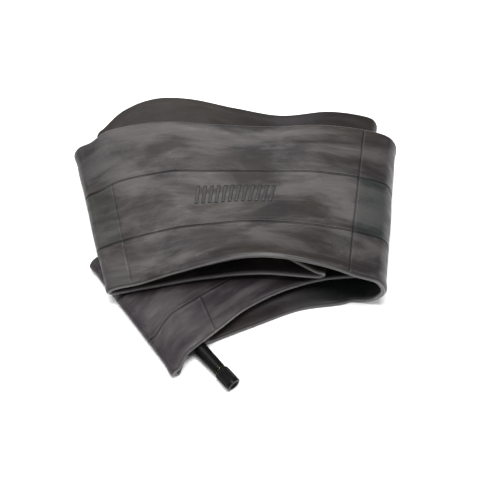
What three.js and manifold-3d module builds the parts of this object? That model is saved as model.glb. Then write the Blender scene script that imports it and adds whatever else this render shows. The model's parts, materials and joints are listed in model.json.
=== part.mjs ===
// A wide bicycle inner tube, pressed flat and folded into a bundle, with a rubber-covered valve.
// Millimetres, +Z up. The bundle lies on z = 0, its length runs along X, and the tube's rim-side
// edge faces -Y. The valve leaves that edge near the bottom of the bundle.
import * as THREE from 'three';
import { mergeVertices } from 'three/addons/utils/BufferGeometryUtils.js';
import Module from 'manifold-3d';

const wasm = await Module();
wasm.setup();

// ---- Driving dimensions ----
const BUNDLE_LENGTH = 231; // folded bundle along X, between the outer folds
const FLAT_WIDTH = 110; // width of the tube pressed flat
const WALL = 1.3; // rubber wall of the tube
const FLAT_GAP = 0.6; // air left between the two walls where they lie flat
const EDGE_THICKNESS = 4.6; // rounded edge, where the wall bends back on itself
const LAYER_CLEARANCE = 0.6; // least air between two layers of the bundle
const VALVE_SWELL = 1.3; // extra half thickness of the edge round the valve

const FIT_GAP = 0.3; // clearance between separate pieces
const VALVE_HEADING = -49; // degrees from +X, in plan
const VALVE_AXIS_HEIGHT = 5.4; // above the surface that the bundle lies on

const STEM_DIAMETER = 6.6; // brass, under the rubber
const STEM_TIP_CHAMFER = 0.5;
const STEM_WALL = 0.6; // brass wall round the core
const THREAD_GROWTH = 1.1; // how much wider the brass is under the cap
const FLANGE_WIDTH = 1; // how far the brass flange stands out round the stem
const STEM_FLANGE_THICKNESS = 1.1;
const STEM_FLANGE_STANDOFF = 1.4; // brass flange to the tube's edge
const AIR_PASSAGE = 3.2;
const VALVE_HOLE = 5.2; // hole through the tube's wall, under the stem
const CORE_STEP_WIDTH = 0.25; // how much wider the bore is round the core's threaded plug

const COVER_LENGTH = 22.8; // tube edge to the end of the rubber
const COVER_WALL = 0.9; // rubber round the stem, at its outer end
const COVER_TAPER = 0.9; // how much wider the cover is at its root
const COVER_FLARE = 0.4; // the sleeve's extra radius inside the foot
const COVER_FILLET = 2; // length over which the flare runs out
const FOOT_SPREAD = 12; // half length of the rubber foot along the tube's edge
const FOOT_RISE = 2.6; // how far the foot stands off the tube's edge
const FOOT_GRIP = 4.5; // how far the foot reaches back over the edge

const CAP_LENGTH = 14;
const CAP_WALL = 1.15; // to the crest of the ribs
const CAP_RIB_DEPTH = 0.35;
const CAP_RIBS = 24;
const CAP_END_WALL = 2.4;
const CAP_DISH_DEPTH = 1.0;
const CAP_DISH_RIM = 1.8; // width of the flat rim round the dished end
const CAP_DISH_SLOPE = 0.8;
const CAP_COLLAR = 2.2; // smooth band behind the end face
const CAP_COLLAR_SLOPE = 0.4;
const CAP_EDGE_CHAMFER = 0.8;
const CAP_MOUTH_WALL = 0.35;
const CAP_CHAMFER = 1.6;
const CAP_SEAL_THICKNESS = 1.1;
const CAP_SEAL_HOLE = 3.4;

const PLUG_LENGTH = 5.2;
const PLUG_BRIDGE = 3.7; // width of the flat bridge left across the plug's head
const PLUG_BRIDGE_HEIGHT = 2;
const BARREL_LENGTH = 10.6;
const BARREL_DIAMETER = 3.5;
const BARREL_BORE = 2.7;
const BARREL_FLOOR = 1.1; // inner end of the barrel, that the washer closes
const GASKET_LENGTH = 2.4;
const GASKET_DROP = 2; // from the barrel's top to the gasket's
const PIN_DIAMETER = 0.8;
const PIN_HEAD_DIAMETER = 1.5;
const PIN_HEAD_LENGTH = 1.2;
const PIN_HEAD_TAPER = 0.4;
const PIN_COLLAR_DIAMETER = 2.1;
const PIN_COLLAR_THICKNESS = 1;
const PIN_COLLAR_DROP = 0.8; // from the barrel's top to the collar's
const PIN_RIVET_HEIGHT = 0.5;
const PIN_TRAVEL = 1.5; // inward stroke when the pin is pressed
const PIN_RECESS = 0.4; // pin head below the brass tip
const SPRING_WIRE = 0.35;
const SPRING_TURNS = 7;
const CUP_CLEARANCE = 0.95; // air that flows past the cup
const CUP_HEIGHT = 1.8;
const CUP_CHAMFER = 0.3;
const CUP_ROOM = 1.5; // below the cup when the pin is pressed right in
const WASHER_THICKNESS = 0.8;
const SEAT_LIP = 0.5; // rim of the cup that stands round the washer

// ---- Sizes that follow from them ----
const CORE_BORE = STEM_DIAMETER - 2 * STEM_WALL; // round the core's barrel
const CORE_THREAD_BORE = CORE_BORE + 2 * CORE_STEP_WIDTH;
const STEM_THREAD_DIAMETER = STEM_DIAMETER + THREAD_GROWTH;
const STEM_FLANGE_DIAMETER = STEM_DIAMETER + 2 * FLANGE_WIDTH;
const COVER_END_DIAMETER = STEM_DIAMETER + 2 * FIT_GAP + 2 * COVER_WALL;
const COVER_ROOT_DIAMETER = COVER_END_DIAMETER + COVER_TAPER;
const CAP_BORE = STEM_THREAD_DIAMETER + 2 * FIT_GAP;
const CAP_DIAMETER = CAP_BORE + 2 * CAP_WALL;
const CAP_DISH_DIAMETER = CAP_DIAMETER - 2 * CAP_DISH_RIM;
const CUP_DIAMETER = CORE_BORE - 2 * CUP_CLEARANCE;
const CAP_BOTTOM = COVER_LENGTH + 2 * FIT_GAP;
const CAP_TOP = CAP_BOTTOM + CAP_LENGTH;
const CAP_BORE_TOP = CAP_TOP - CAP_DISH_DEPTH - CAP_END_WALL;
const STEM_LENGTH = CAP_BORE_TOP - CAP_SEAL_THICKNESS - 2 * FIT_GAP; // tube edge to brass tip

// ---- Levels of the folded layers ----
// A place in the bundle has a whole number of layers beneath it, and a lift: the extra height
// that the springy rubber keeps over a tight pile.
const WEB_HALF = WALL + FLAT_GAP / 2;
const EDGE_HALF = EDGE_THICKNESS / 2;
const PRESSED_FLAT = 0.1; // how far the weight presses the lowest layer on its surface
const PITCH = EDGE_THICKNESS + LAYER_CLEARANCE;
const level = (layers, lift) => WEB_HALF - PRESSED_FLAT + layers * PITCH + lift;

// ---- The lay of the tube ----
// It is drawn for a bundle 231 long and a tube 110 wide, and stretches to the sizes above.
const DRAWN_LENGTH = 231;
const DRAWN_WIDTH = 110;
const CENTRE = [2.5, -2.5]; // moves the drawn lay so that its box is centred on the origin
const VALVE_FOOT = [-28.5, -75]; // where the valve leaves the rim-side edge, as drawn
const RIGHT = 1;
const LEFT = -1;

// A station is one line across the band. Each end is [x, y, layers beneath, lift].
const station = (rim, tread, extra = {}) => ({ rim, tread, curl: 0, swell: 0, ...extra });
// A fold turns the band over, to the layer above it or below. Each end gives the outermost point,
// how far back the bend starts, and [layers beneath, lift] of its lower and its upper layer.
const fold = (side, rises, rim, tread) => ({ side, rises, rim, tread });
const bend = (x, y, reach, low, high) => ({ x, y, reach, low, high });

const LAY = [
  // The lowest layer, to the right, with the valve on its rim-side edge.
  station([-36.3, -81, 0, 0.3], [-78, 2, 0, 0]),
  station([...VALVE_FOOT, 0, VALVE_AXIS_HEIGHT - level(0, 0)], [-62, 10, 0, 0], { swell: VALVE_SWELL }),
  station([-18.8, -70.3, 0, 0.8], [-44, 18, 0, 0]),
  station([12, -57.2, 0, 0], [-8, 34, 0, 0]),
  station([42, -45.5, 0, 0], [34, 52, 0, 0]),
  station([70, -41.2, 0, 0], [70, 64, 0, 0]),
  // The large outer turn on the right, up to the top layer.
  fold(RIGHT, true, bend(97.6, -41.5, 20, [0, 0.3], [5, 10.5]), bend(112, 77, 16, [0, 0.3], [5, 11])),
  // The top layer, to the left. Its rim-side edge arches and curls up.
  station([54, -33, 5, 15.5], [62, 81.5, 5, 15.5], { curl: 5 }),
  station([17, -28.5, 5, 20], [24, 80, 5, 16], { curl: 8 }),
  station([-12, -29.5, 5, 15.5], [-18, 82, 5, 16], { curl: 6 }),
  station([-42, -33, 5, 5], [-58, 84.5, 5, 16], { curl: 1.5 }),
  station([-68, -38, 3, 7.6], [-96, 80, 5, 10.5]),
  fold(LEFT, false, bend(-89, -41, 5, [2, 2.3], [3, 4.1]), bend(-119, 69.5, 12, [2, 2], [5, 7])),
  // The third layer, to the right.
  station([-62, -36, 2, 3.4], [-80, 68, 2, 4]),
  station([-26, -30, 2, 5.5], [-30, 72, 2, 5]),
  station([15, -27, 2, 8], [20, 72, 2, 5]),
  fold(RIGHT, true, bend(57, -31, 4.8, [2, 8.2], [3, 10.4]), bend(67, 68, 5, [2, 5], [3, 7])),
  // The fourth layer, back to the left.
  station([18, -12, 3, 8.6], [25, 84, 3, 7]),
  station([-12, -8, 3, 6], [-35, 87, 3, 6]),
  fold(LEFT, true, bend(-38, -6, 5, [3, 4], [4, 6]), bend(-104, 85, 5, [3, 5.5], [4, 8])),
  // The fifth layer, to the right. Its tread-side edge waves out behind the bundle.
  station([-16, -9, 4, 7], [-86.5, 101.8, 4, 10.6]),
  station([4, -10, 4, 8.5], [-65, 111.7, 4, 12]),
  station([24, -10, 4, 9.8], [-37, 111.7, 4, 12.2]),
  station([42, -12, 4, 9.8], [-4, 103.5, 4, 12.2]),
  station([57, -15, 4, 9.2], [30, 96.8, 4, 12.2]),
  station([70, -18, 4, 8.4], [66, 100.3, 4, 12.2]),
  fold(RIGHT, false, bend(90, -25, 11, [1, 2], [4, 7]), bend(99.5, 98, 10, [1, 2.5], [4, 9])),
  // The second layer, to the left, swinging forward over the valve.
  station([58, -27, 1, 3], [62, 72, 1, 2.5]),
  station([32, -34.5, 1, 3.2], [22, 50, 1, 2.5]),
  station([6, -48.5, 1, 4], [-8, 33, 1, 2.5]),
  station([-12, -64, 1, 5.5], [-44, 17.5, 1, 2.5]),
  station([-27, -77.5, 1, 6.6], [-62, 9.5, 1, 2.4]),
  station([-35.5, -84.5, 1, 4.5], [-78, 1.5, 1, 2.3]),
  fold(LEFT, false, bend(-43.2, -95.3, 3.5, [0, 0], [1, 1.2]), bend(-105, -10.5, 5, [0, 0], [1, 1.8])),
];
const VALVE_STATION = 1; // the place of the valve's station in the lay
const CURL_SHARE = 0.32; // share of the width over which the rim-side edge curls

const BEND_POINTS = 5; // points that draw each bend
const STEPS_PER_POINT = 2; // cross-sections for each drawn point

const place = (x, y, z) =>
  new THREE.Vector3(
    ((x + CENTRE[0]) * BUNDLE_LENGTH) / DRAWN_LENGTH,
    ((y + CENTRE[1]) * FLAT_WIDTH) / DRAWN_WIDTH,
    z,
  );

// The two edges of the band as closed curves, and the curl and swell at each drawn point.
function drawEdges() {
  const edges = { rim: [], tread: [], curl: [], swell: [] };
  for (const item of LAY) {
    if (!('side' in item)) {
      for (const edge of ['rim', 'tread']) {
        const [x, y, layers, lift] = item[edge];
        edges[edge].push(place(x, y, level(layers, lift)));
      }
      edges.curl.push(item.curl);
      edges.swell.push(item.swell);
      continue;
    }
    const across = new THREE.Vector2(item.tread.x - item.rim.x, item.tread.y - item.rim.y).normalize();
    const outX = across.y * item.side;
    const outY = -across.x * item.side;
    for (let i = 0; i < BEND_POINTS; i += 1) {
      const turn = (Math.PI * i) / (BEND_POINTS - 1) - Math.PI / 2;
      const angle = item.rises ? turn : -turn;
      for (const edge of ['rim', 'tread']) {
        const { x, y, reach, low, high } = item[edge];
        const back = reach * (1 - Math.cos(angle));
        const bottom = level(...low);
        const top = level(...high);
        const z = (bottom + top) / 2 + ((top - bottom) / 2) * Math.sin(angle);
        edges[edge].push(place(x - outX * back, y - outY * back, z));
      }
      edges.curl.push(0);
      edges.swell.push(0);
    }
  }
  return edges;
}

const edges = drawEdges();
const DRAWN_POINTS = edges.rim.length;
const rimEdge = new THREE.CatmullRomCurve3(edges.rim, true, 'centripetal');
const treadEdge = new THREE.CatmullRomCurve3(edges.tread, true, 'centripetal');

// The value of a drawn quantity at a share t of the way round, eased between drawn points.
function eased(values, t) {
  const at = t * DRAWN_POINTS;
  const i = Math.floor(at);
  const next = values[(i + 1) % DRAWN_POINTS];
  return THREE.MathUtils.lerp(values[i % DRAWN_POINTS], next, THREE.MathUtils.smoothstep(at - i, 0, 1));
}

// The middle surface of the flat tube: t goes round the ring, v across it from the rim-side edge.
function middle(t, v) {
  const round = ((t % 1) + 1) % 1;
  const point = rimEdge.getPoint(round).lerp(treadEdge.getPoint(round), v);
  const curl = Math.max(0, 1 - v / CURL_SHARE) ** 2 - (1 - v);
  point.z += eased(edges.curl, round) * curl;
  return point;
}

// Half the thickness at a distance in from the nearer edge.
const SWELL_REACH = 15;
const EDGE_BLEND = [4, 12]; // the thick edge thins to the flat web between these distances
function halfThickness(inset, swell) {
  const blend = THREE.MathUtils.smoothstep(inset, ...EDGE_BLEND);
  const lip = EDGE_HALF + swell * Math.exp(-((inset / SWELL_REACH) ** 2));
  const nose = Math.min(1, inset / lip);
  return (lip + (WEB_HALF - EDGE_HALF) * blend) * Math.sqrt(1 - (1 - nose) ** 2);
}

// A closed skin over the band. offset grows the skin (or shrinks it, for the inner face of the
// wall) and floor is the height that it is pressed flat against.
const SKIN_INSETS = [0.7, 2.3, 12, 36];
const INNER_INSETS = [3, 12, 36];
function bandSkin(offset, floor, insets) {
  const sections = DRAWN_POINTS * STEPS_PER_POINT;
  const near = 0.05 / DRAWN_POINTS;
  const positions = [];
  const ringPoint = (t, inset, fromTread, side) => {
    const width = middle(t, 0).distanceTo(middle(t, 1));
    const swell = fromTread ? 0 : eased(edges.swell, t);
    // A grown skin also stands further out along the band at its rounded edges.
    const reach = inset - Math.max(0, offset) * Math.max(0, 1 - inset / EDGE_HALF);
    const v = fromTread ? 1 - reach / width : reach / width;
    const centre = middle(t, v);
    const along = middle(t + near, v).sub(middle(t - near, v));
    const across = middle(t, Math.min(1, v + 0.01)).sub(middle(t, Math.max(0, v - 0.01)));
    const normal = along.cross(across).normalize();
    const half = side === 0 ? 0 : halfThickness(inset, swell) + offset;
    const point = centre.addScaledVector(normal, side * half);
    point.z = Math.max(point.z, floor);
    return point.toArray();
  };
  const tip = Math.max(0, -offset); // the inner face of the wall starts in from the edge
  for (let i = 0; i < sections; i += 1) {
    const t = i / sections;
    positions.push(ringPoint(t, tip, false, 0));
    insets.forEach((inset) => positions.push(ringPoint(t, inset, false, 1)));
    insets.toReversed().forEach((inset) => positions.push(ringPoint(t, inset, true, 1)));
    positions.push(ringPoint(t, tip, true, 0));
    insets.forEach((inset) => positions.push(ringPoint(t, inset, true, -1)));
    insets.toReversed().forEach((inset) => positions.push(ringPoint(t, inset, false, -1)));
  }
  const around = positions.length / sections;
  const faces = [];
  for (let i = 0; i < sections; i += 1) {
    for (let j = 0; j < around; j += 1) {
      const a = i * around + j;
      const b = i * around + ((j + 1) % around);
      const c = ((i + 1) % sections) * around + ((j + 1) % around);
      const d = ((i + 1) % sections) * around + j;
      // Both sides of the flat band are split along the same diagonal, so they stay parallel.
      if (j < around / 2) faces.push(a, c, b, a, d, c);
      else faces.push(a, d, b, b, d, c);
    }
  }
  const geometry = new THREE.BufferGeometry();
  geometry.setAttribute('position', new THREE.Float32BufferAttribute(positions.flat(), 3));
  geometry.setIndex(faces);
  return geometry;
}

// ---- Solids ----
// A manifold solid from a closed geometry, turned right way out if it was drawn inside out.
function solid(geometry) {
  const bare = new THREE.BufferGeometry();
  bare.setAttribute('position', geometry.getAttribute('position'));
  if (geometry.index) bare.setIndex(geometry.index);
  const merged = mergeVertices(bare, 1e-4);
  const make = (triVerts) =>
    new wasm.Manifold(
      new wasm.Mesh({ numProp: 3, vertProperties: merged.attributes.position.array, triVerts }),
    );
  const faces = [];
  for (let i = 0; i < merged.index.count; i += 3) {
    const [a, b, c] = merged.index.array.slice(i, i + 3);
    if (a !== b && b !== c && c !== a) faces.push(a, b, c);
  }
  const made = make(new Uint32Array(faces));
  return made.volume() > 0 ? made : make(new Uint32Array(faces.toReversed()));
}

function geometryOf(made) {
  const mesh = made.getMesh();
  const geometry = new THREE.BufferGeometry();
  geometry.setAttribute('position', new THREE.BufferAttribute(mesh.vertProperties, 3));
  geometry.setIndex(new THREE.BufferAttribute(mesh.triVerts, 1));
  const flat = geometry.toNonIndexed();
  flat.computeVertexNormals();
  return flat;
}

// A body turned about +Z from a closed outline of [radius, height] points.
const TURNED_SIDES = 40;
function turned(outline, sides = TURNED_SIDES) {
  const points = [...outline, outline[0]].map(([radius, height]) => new THREE.Vector2(radius, height));
  return solid(new THREE.LatheGeometry(points, sides).rotateX(Math.PI / 2));
}

// A turned ring or disc between two heights.
function ring(outer, inner, bottom, top, sides = TURNED_SIDES) {
  return turned([[inner / 2, bottom], [outer / 2, bottom], [outer / 2, top], [inner / 2, top]], sides);
}
const disc = (diameter, bottom, top, sides) => ring(diameter, 0, bottom, top, sides);

function part(name, made, { color, roughness, metalness = 0 }) {
  const material = new THREE.MeshStandardMaterial({ color, roughness, metalness, flatShading: true });
  const mesh = new THREE.Mesh(geometryOf(made), material);
  mesh.name = name;
  return mesh;
}

// ---- Materials ----
const BUTYL = { color: 0x4a4648, roughness: 0.62 };
const STEM_RUBBER = { color: 0x1c1c1d, roughness: 0.45 };
const CAP_PLASTIC = { color: 0x17171a, roughness: 0.4 };
const BRASS = { color: 0xb8944a, roughness: 0.35, metalness: 1 };
const STEEL = { color: 0xa9abad, roughness: 0.3, metalness: 1 };
const SEAL_RUBBER = { color: 0x2b2a2a, roughness: 0.8 };

// ---- The valve's own frame: +Z out along the stem, origin on the tube's edge ----
// It stays square to the edge when the bundle is stretched.
const drawnHeading = THREE.MathUtils.degToRad(VALVE_HEADING);
const heading = Math.atan2(
  (Math.sin(drawnHeading) * DRAWN_WIDTH) / FLAT_WIDTH,
  (Math.cos(drawnHeading) * DRAWN_LENGTH) / BUNDLE_LENGTH,
);
const valveFrame = new THREE.Matrix4().makeBasis(
  new THREE.Vector3(-Math.sin(heading), Math.cos(heading), 0),
  new THREE.Vector3(0, 0, 1),
  new THREE.Vector3(Math.cos(heading), Math.sin(heading), 0),
);
valveFrame.setPosition(edges.rim[VALVE_STATION]);
const toValve = valveFrame.clone().invert();

// ---- The tube ----
const HOLE_DEPTH = 3; // the valve hole passes through the wall into the air space
function innerTube() {
  const outside = solid(bandSkin(0, 0, SKIN_INSETS));
  const inside = solid(bandSkin(-WALL, WALL, INNER_INSETS));
  const drill = solid(
    new THREE.CylinderGeometry(VALVE_HOLE / 2, VALVE_HOLE / 2, 2 * HOLE_DEPTH, TURNED_SIDES)
      .rotateX(Math.PI / 2)
      .applyMatrix4(valveFrame),
  );
  return outside.subtract(inside).subtract(drill);
}

// ---- The rubber cover and its foot, one moulding ----
const FOOT_SIDES = [36, 20];
const CUT_PAST = 1; // how far a cutting body runs on past the face that it opens
const FLANGE_BOTTOM = STEM_FLANGE_STANDOFF;
const FLANGE_TOP = FLANGE_BOTTOM + STEM_FLANGE_THICKNESS;
function stemCover() {
  const centre = -FOOT_GRIP / 2;
  const footDepth = FOOT_RISE - centre;
  const footHeight = VALVE_AXIS_HEIGHT - FIT_GAP;
  const foot = solid(
    new THREE.SphereGeometry(1, ...FOOT_SIDES)
      .scale(FOOT_SPREAD, footHeight, footDepth)
      .translate(0, 0, centre),
  );
  const sleeve = turned([
    [0, 0],
    [COVER_ROOT_DIAMETER / 2 + COVER_FLARE, 0],
    [COVER_ROOT_DIAMETER / 2 + COVER_FLARE, FOOT_RISE],
    [COVER_ROOT_DIAMETER / 2, FOOT_RISE + COVER_FILLET],
    [COVER_END_DIAMETER / 2, COVER_LENGTH],
    [0, COVER_LENGTH],
  ]);
  const skin = solid(bandSkin(FIT_GAP, 0, SKIN_INSETS).applyMatrix4(toValve));
  const flangeSeat = disc(STEM_FLANGE_DIAMETER + 2 * FIT_GAP, -EDGE_THICKNESS, FLANGE_TOP + FIT_GAP);
  const stemHole = disc(STEM_DIAMETER + 2 * FIT_GAP, 0, COVER_LENGTH + CUT_PAST);
  return foot.add(sleeve).subtract(skin).subtract(flangeSeat).subtract(stemHole);
}

// ---- Heights inside the valve, from the tip inwards ----
const PLUG_TOP = STEM_LENGTH - PIN_RECESS;
const PLUG_BOTTOM = PLUG_TOP - PLUG_LENGTH;
const BARREL_TOP = PLUG_BOTTOM - FIT_GAP;
const BARREL_BOTTOM = BARREL_TOP - BARREL_LENGTH;
const GASKET_TOP = BARREL_TOP - GASKET_DROP;
const CORE_STEP = GASKET_TOP + FIT_GAP; // where the core bore widens for the thread
const WASHER_TOP = BARREL_BOTTOM - FIT_GAP;
const WASHER_BOTTOM = WASHER_TOP - WASHER_THICKNESS;
const CUP_BOTTOM = WASHER_TOP - CUP_HEIGHT;
const CORE_FLOOR = CUP_BOTTOM - PIN_TRAVEL - CUP_ROOM;
const CORE_FLOOR_SLOPE = 1;
const SPRING_BOTTOM = BARREL_BOTTOM + BARREL_FLOOR + FIT_GAP;
const COLLAR_TOP = BARREL_TOP - PIN_COLLAR_DROP;
const COLLAR_BOTTOM = COLLAR_TOP - PIN_COLLAR_THICKNESS;
const SPRING_TOP = COLLAR_BOTTOM - FIT_GAP;

const brassStem = () =>
  turned([
    [AIR_PASSAGE / 2, FLANGE_BOTTOM],
    [STEM_FLANGE_DIAMETER / 2, FLANGE_BOTTOM],
    [STEM_FLANGE_DIAMETER / 2, FLANGE_TOP],
    [STEM_DIAMETER / 2, FLANGE_TOP],
    [STEM_DIAMETER / 2, COVER_LENGTH + FIT_GAP],
    [STEM_THREAD_DIAMETER / 2, COVER_LENGTH + 2 * FIT_GAP],
    [STEM_THREAD_DIAMETER / 2, STEM_LENGTH - STEM_TIP_CHAMFER],
    [STEM_THREAD_DIAMETER / 2 - STEM_TIP_CHAMFER, STEM_LENGTH],
    [CORE_THREAD_BORE / 2, STEM_LENGTH],
    [CORE_THREAD_BORE / 2, CORE_STEP],
    [CORE_BORE / 2, CORE_STEP],
    [CORE_BORE / 2, CORE_FLOOR],
    [AIR_PASSAGE / 2, CORE_FLOOR - CORE_FLOOR_SLOPE],
  ]);

const CORE_SIDES = 28;
const PLUG_HOLE = PIN_HEAD_DIAMETER + 2 * FIT_GAP;
function corePlug() {
  const body = ring(CORE_THREAD_BORE - 2 * FIT_GAP, PLUG_HOLE, PLUG_BOTTOM, PLUG_TOP, CORE_SIDES);
  const cut = CORE_THREAD_BORE;
  const depth = PLUG_BRIDGE_HEIGHT + CUT_PAST;
  const side = (sign) =>
    solid(
      new THREE.BoxGeometry(cut, cut, depth).translate(
        0,
        (sign * (cut + PLUG_BRIDGE)) / 2,
        PLUG_TOP - PLUG_BRIDGE_HEIGHT + depth / 2,
      ),
    );
  return body.subtract(side(1)).subtract(side(-1));
}

const PIN_HOLE = PIN_DIAMETER + 2 * FIT_GAP;
const coreBarrel = () =>
  turned(
    [
      [PIN_HOLE / 2, BARREL_BOTTOM],
      [BARREL_DIAMETER / 2, BARREL_BOTTOM],
      [BARREL_DIAMETER / 2, BARREL_TOP],
      [BARREL_BORE / 2, BARREL_TOP],
      [BARREL_BORE / 2, BARREL_BOTTOM + BARREL_FLOOR],
      [PIN_HOLE / 2, BARREL_BOTTOM + BARREL_FLOOR],
    ],
    CORE_SIDES,
  );

const coreGasket = () =>
  ring(
    CORE_BORE - 2 * FIT_GAP,
    BARREL_DIAMETER + 2 * FIT_GAP,
    GASKET_TOP - GASKET_LENGTH,
    GASKET_TOP,
    CORE_SIDES,
  );

const PIN_SIDES = 20;
const PIN_BOTTOM = CUP_BOTTOM - FIT_GAP - PIN_RIVET_HEIGHT; // riveted end below the cup
const valvePin = () =>
  turned(
    [
      [0, PIN_BOTTOM],
      [PIN_HOLE / 2, PIN_BOTTOM],
      [PIN_HOLE / 2, PIN_BOTTOM + PIN_RIVET_HEIGHT],
      [PIN_DIAMETER / 2, PIN_BOTTOM + PIN_RIVET_HEIGHT],
      [PIN_DIAMETER / 2, COLLAR_BOTTOM],
      [PIN_COLLAR_DIAMETER / 2, COLLAR_BOTTOM],
      [PIN_COLLAR_DIAMETER / 2, COLLAR_TOP],
      [PIN_DIAMETER / 2, COLLAR_TOP],
      [PIN_DIAMETER / 2, PLUG_TOP - PIN_HEAD_LENGTH - PIN_HEAD_TAPER],
      [PIN_HEAD_DIAMETER / 2, PLUG_TOP - PIN_HEAD_LENGTH],
      [PIN_HEAD_DIAMETER / 2, PLUG_TOP],
      [0, PLUG_TOP],
    ],
    PIN_SIDES,
  );

class Coil extends THREE.Curve {
  getPoint(t) {
    const radius = BARREL_BORE / 2 - FIT_GAP - SPRING_WIRE / 2;
    const angle = 2 * Math.PI * SPRING_TURNS * t;
    const low = SPRING_BOTTOM + SPRING_WIRE / 2;
    const high = SPRING_TOP - SPRING_WIRE / 2;
    return new THREE.Vector3(
      radius * Math.cos(angle),
      radius * Math.sin(angle),
      THREE.MathUtils.lerp(low, high, t),
    );
  }
}

const WIRE_SIDES = 6;
const STEPS_PER_TURN = 14;
function coreSpring() {
  const section = new THREE.Shape();
  for (let i = 0; i < WIRE_SIDES; i += 1) {
    const angle = (2 * Math.PI * i) / WIRE_SIDES;
    const at = [(SPRING_WIRE / 2) * Math.cos(angle), (SPRING_WIRE / 2) * Math.sin(angle)];
    if (i === 0) section.moveTo(...at);
    else section.lineTo(...at);
  }
  const options = { steps: SPRING_TURNS * STEPS_PER_TURN, extrudePath: new Coil(), bevelEnabled: false };
  return solid(new THREE.ExtrudeGeometry(section, options));
}

// The cup holds its washer in a shallow recess, and both slide with the pin.
const WASHER_DIAMETER = CUP_DIAMETER - SEAT_LIP - FIT_GAP;
const seatCup = () =>
  turned(
    [
      [PIN_HOLE / 2, CUP_BOTTOM],
      [CUP_DIAMETER / 2 - CUP_CHAMFER, CUP_BOTTOM],
      [CUP_DIAMETER / 2, CUP_BOTTOM + CUP_CHAMFER],
      [CUP_DIAMETER / 2, WASHER_TOP - FIT_GAP],
      [WASHER_DIAMETER / 2 + FIT_GAP, WASHER_TOP - FIT_GAP],
      [WASHER_DIAMETER / 2 + FIT_GAP, WASHER_BOTTOM - FIT_GAP],
      [PIN_HOLE / 2, WASHER_BOTTOM - FIT_GAP],
    ],
    CORE_SIDES,
  );
const seatWasher = () => ring(WASHER_DIAMETER, PIN_HOLE, WASHER_BOTTOM, WASHER_TOP, CORE_SIDES);

// ---- The cap ----
// One rib and one groove, as shares of a rib's pitch from the start of the groove.
const RIB_START = 0.3;
const RIB_CREST = [0.45, 0.85];
function valveCap() {
  const root = CAP_DIAMETER / 2 - CAP_RIB_DEPTH;
  const crest = CAP_DIAMETER / 2;
  const outline = new THREE.Shape();
  for (let i = 0; i < CAP_RIBS; i += 1) {
    const corners = [[0, root], [RIB_START, root], [RIB_CREST[0], crest], [RIB_CREST[1], crest]];
    corners.forEach(([share, radius], corner) => {
      const angle = (2 * Math.PI * (i + share)) / CAP_RIBS;
      const at = [radius * Math.cos(angle), radius * Math.sin(angle)];
      if (i === 0 && corner === 0) outline.moveTo(...at);
      else outline.lineTo(...at);
    });
  }
  const ribs = new THREE.ExtrudeGeometry(outline, { depth: CAP_LENGTH - CAP_COLLAR, bevelEnabled: false });
  const ribbed = solid(ribs.translate(0, 0, CAP_BOTTOM));
  const sides = 2 * CAP_RIBS;
  const core = turned(
    [
      [0, CAP_BOTTOM],
      [root, CAP_BOTTOM],
      [root, CAP_TOP - CAP_COLLAR - CAP_COLLAR_SLOPE],
      [crest, CAP_TOP - CAP_COLLAR],
      [crest, CAP_TOP - CAP_EDGE_CHAMFER],
      [crest - CAP_EDGE_CHAMFER, CAP_TOP],
      [CAP_DISH_DIAMETER / 2, CAP_TOP],
      [CAP_DISH_DIAMETER / 2 - CAP_DISH_SLOPE, CAP_TOP - CAP_DISH_DEPTH],
      [0, CAP_TOP - CAP_DISH_DEPTH],
    ],
    sides,
  );
  const envelope = turned(
    [
      [0, CAP_BOTTOM],
      [CAP_BORE / 2 + CAP_MOUTH_WALL, CAP_BOTTOM],
      [crest, CAP_BOTTOM + CAP_CHAMFER],
      [crest, CAP_TOP],
      [0, CAP_TOP],
    ],
    sides,
  );
  const bore = disc(CAP_BORE, CAP_BOTTOM - CUT_PAST, CAP_BORE_TOP);
  return ribbed.add(core).intersect(envelope).subtract(bore);
}
const SEAL_BOTTOM = STEM_LENGTH + FIT_GAP;
const capSeal = () =>
  ring(CAP_BORE - 2 * FIT_GAP, CAP_SEAL_HOLE, SEAL_BOTTOM, SEAL_BOTTOM + CAP_SEAL_THICKNESS);

// ---- Assembly ----
const bundle = new THREE.Group();
bundle.add(part('inner_tube', innerTube(), BUTYL));

const valve = new THREE.Group();
valve.applyMatrix4(valveFrame);
valve.add(part('valve_stem_cover', stemCover(), STEM_RUBBER));
valve.add(part('valve_stem', brassStem(), BRASS));
valve.add(part('core_plug', corePlug(), BRASS));
valve.add(part('core_barrel', coreBarrel(), BRASS));
valve.add(part('core_gasket', coreGasket(), SEAL_RUBBER));
valve.add(part('valve_pin', valvePin(), STEEL));
valve.add(part('core_spring', coreSpring(), STEEL));
valve.add(part('seat_cup', seatCup(), BRASS));
valve.add(part('seat_washer', seatWasher(), SEAL_RUBBER));
valve.add(part('valve_cap', valveCap(), CAP_PLASTIC));
valve.add(part('cap_seal', capSeal(), SEAL_RUBBER));
bundle.add(valve);

export default bundle;
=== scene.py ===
import json
import math

import bpy
import numpy as np
from mathutils import Matrix, Vector


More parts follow.
